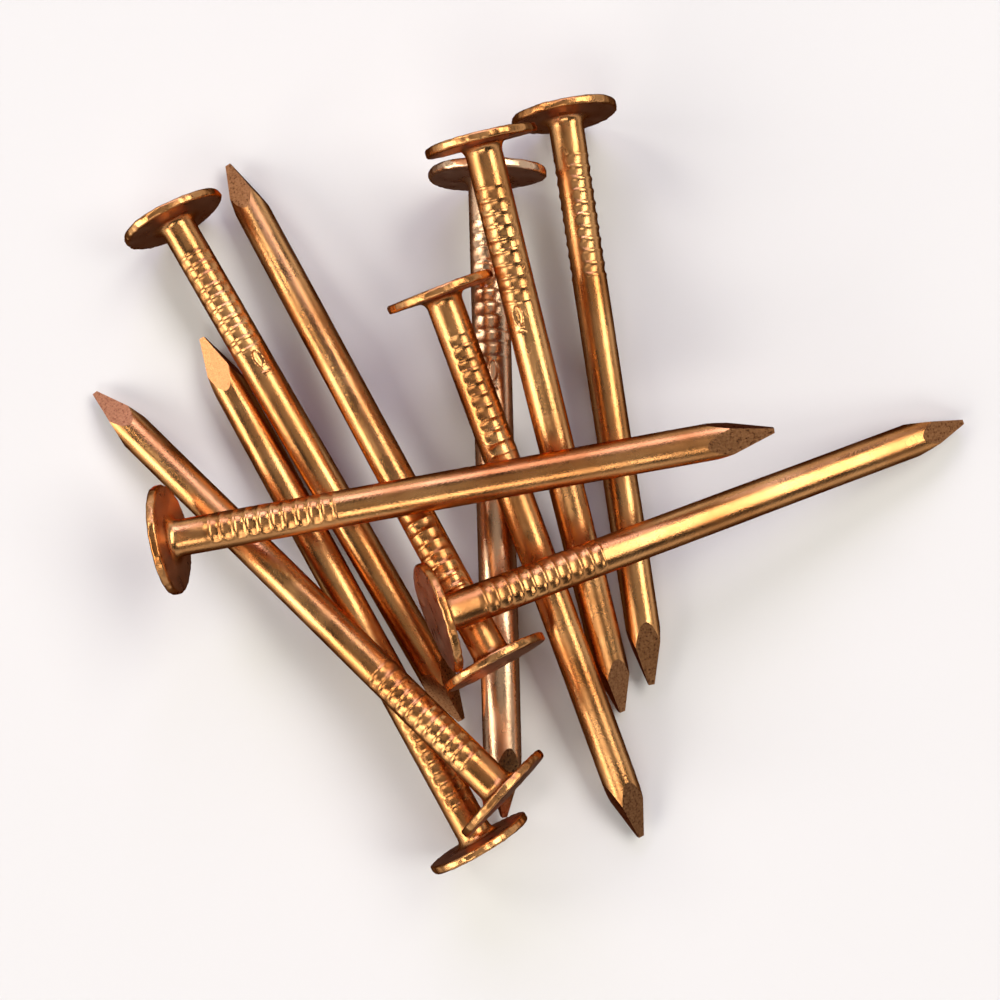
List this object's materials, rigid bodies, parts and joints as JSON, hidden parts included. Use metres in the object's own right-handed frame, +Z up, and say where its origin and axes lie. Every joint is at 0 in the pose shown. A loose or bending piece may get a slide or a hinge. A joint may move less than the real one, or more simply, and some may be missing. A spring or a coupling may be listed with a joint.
{
  "type": "nail",
  "caption": "Loose heap of large-head copper nails with grip rings under the head and four-sided points, each nail a separate piece.",
  "frame": {"origin": "middle of the heap's bounding box, on the surface that the heap lies on", "axes": "+Z up; +X to the right and +Y away from the viewer as the heap is usually looked at from above"},
  "size_m": [0.0776, 0.0663, 0.0176],
  "materials": {
    "copper": "bright drawn copper, lightly grained along the shank"
  },
  "bodies": {
    "nail_01": {"nail_01": "copper"},
    "nail_02": {"nail_02": "copper"},
    "nail_03": {"nail_03": "copper"},
    "nail_04": {"nail_04": "copper"},
    "nail_05": {"nail_05": "copper"},
    "nail_06": {"nail_06": "copper"},
    "nail_07": {"nail_07": "copper"},
    "nail_08": {"nail_08": "copper"},
    "nail_09": {"nail_09": "copper"},
    "nail_10": {"nail_10": "copper"}
  },
  "joints": [
    {"name": "nail_02_lift", "type": "slide", "parent": "nail_01", "child": "nail_02", "axis": [0, 0, 1], "range_m": [0, 0.02]},
    {"name": "nail_03_lift", "type": "slide", "parent": "nail_02", "child": "nail_03", "axis": [0, 0, 1], "range_m": [0, 0.02]},
    {"name": "nail_04_lift", "type": "slide", "parent": "nail_03", "child": "nail_04", "axis": [0, 0, 1], "range_m": [0, 0.02]},
    {"name": "nail_05_lift", "type": "slide", "parent": "nail_04", "child": "nail_05", "axis": [0, 0, 1], "range_m": [0, 0.02]},
    {"name": "nail_06_lift", "type": "slide", "parent": "nail_05", "child": "nail_06", "axis": [0, 0, 1], "range_m": [0, 0.02]},
    {"name": "nail_07_lift", "type": "slide", "parent": "nail_06", "child": "nail_07", "axis": [0, 0, 1], "range_m": [0, 0.02]},
    {"name": "nail_08_lift", "type": "slide", "parent": "nail_07", "child": "nail_08", "axis": [0, 0, 1], "range_m": [0, 0.02]},
    {"name": "nail_09_lift", "type": "slide", "parent": "nail_07", "child": "nail_09", "axis": [0, 0, 1], "range_m": [0, 0.02]},
    {"name": "nail_10_lift", "type": "slide", "parent": "nail_08", "child": "nail_10", "axis": [0, 0, 1], "range_m": [0, 0.02]}
  ]
}
